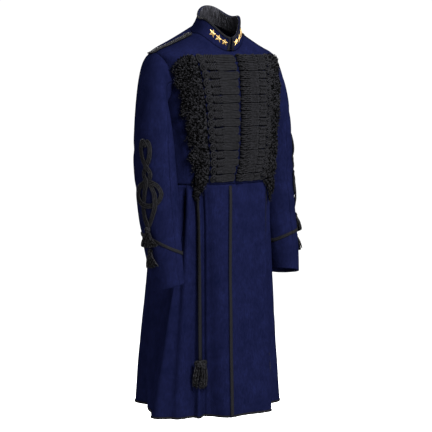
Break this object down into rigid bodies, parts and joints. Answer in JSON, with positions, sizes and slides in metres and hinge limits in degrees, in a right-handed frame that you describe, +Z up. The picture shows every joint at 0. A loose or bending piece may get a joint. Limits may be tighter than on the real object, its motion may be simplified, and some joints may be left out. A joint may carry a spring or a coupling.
{
  "type": "cavalry uniform",
  "caption": "Long frogged military frock coat: hollow cloth body, full skirt, stand collar with stars, braided chest, fringe bands, sleeve knots and tassels.",
  "frame": {"origin": "between the shoulders at the height where neck and shoulders meet, where the coat is held", "axes": "+Z up along the height, -Y to the coat's front, +X to the wearer's left"},
  "size_m": [0.5676, 0.3675, 1.1012],
  "materials": {
    "navy_wool": "napped broadcloth",
    "black_braid": "flat mohair braid",
    "black_cord": "twisted mohair cord",
    "black_silk": "crinkled silk",
    "gold_thread": "metal thread embroidery"
  },
  "bodies": {
    "root": {"front_right": "navy_wool", "skirt_front_right": "navy_wool", "skirt_back_right": "navy_wool", "sleeve_right": "navy_wool", "collar_stars_right": "gold_thread", "frog_right_1": "black_cord", "frog_right_2": "black_cord", "frog_right_3": "black_cord", "frog_right_4": "black_cord", "frog_right_5": "black_cord", "frog_right_6": "black_cord", "frog_right_7": "black_cord", "frog_right_8": "black_cord", "fringe_right": "black_cord", "side_braid_right": "black_braid", "skirt_tassel_right": "black_cord", "hem_front_right": "black_braid", "hem_back_right": "black_braid", "cuff_braid_right": "black_braid", "sleeve_knot_right": "black_cord", "sleeve_tassel_upper_right": "black_cord", "sleeve_tassel_lower_right": "black_cord", "shoulder_strap_right": "black_braid", "front_left": "navy_wool", "skirt_front_left": "navy_wool", "skirt_back_left": "navy_wool", "sleeve_left": "navy_wool", "collar_stars_left": "gold_thread", "frog_left_1": "black_cord", "frog_left_2": "black_cord", "frog_left_3": "black_cord", "frog_left_4": "black_cord", "frog_left_5": "black_cord", "frog_left_6": "black_cord", "frog_left_7": "black_cord", "frog_left_8": "black_cord", "fringe_left": "black_cord", "side_braid_left": "black_braid", "skirt_tassel_left": "black_cord", "hem_front_left": "black_braid", "hem_back_left": "black_braid", "cuff_braid_left": "black_braid", "sleeve_knot_left": "black_cord", "sleeve_tassel_upper_left": "black_cord", "sleeve_tassel_lower_left": "black_cord", "shoulder_strap_left": "black_braid", "back": "navy_wool", "collar": "navy_wool", "collar_lining": "black_silk", "collar_braid": "black_braid", "front_braid": "black_braid"}
  },
  "joints": []
}
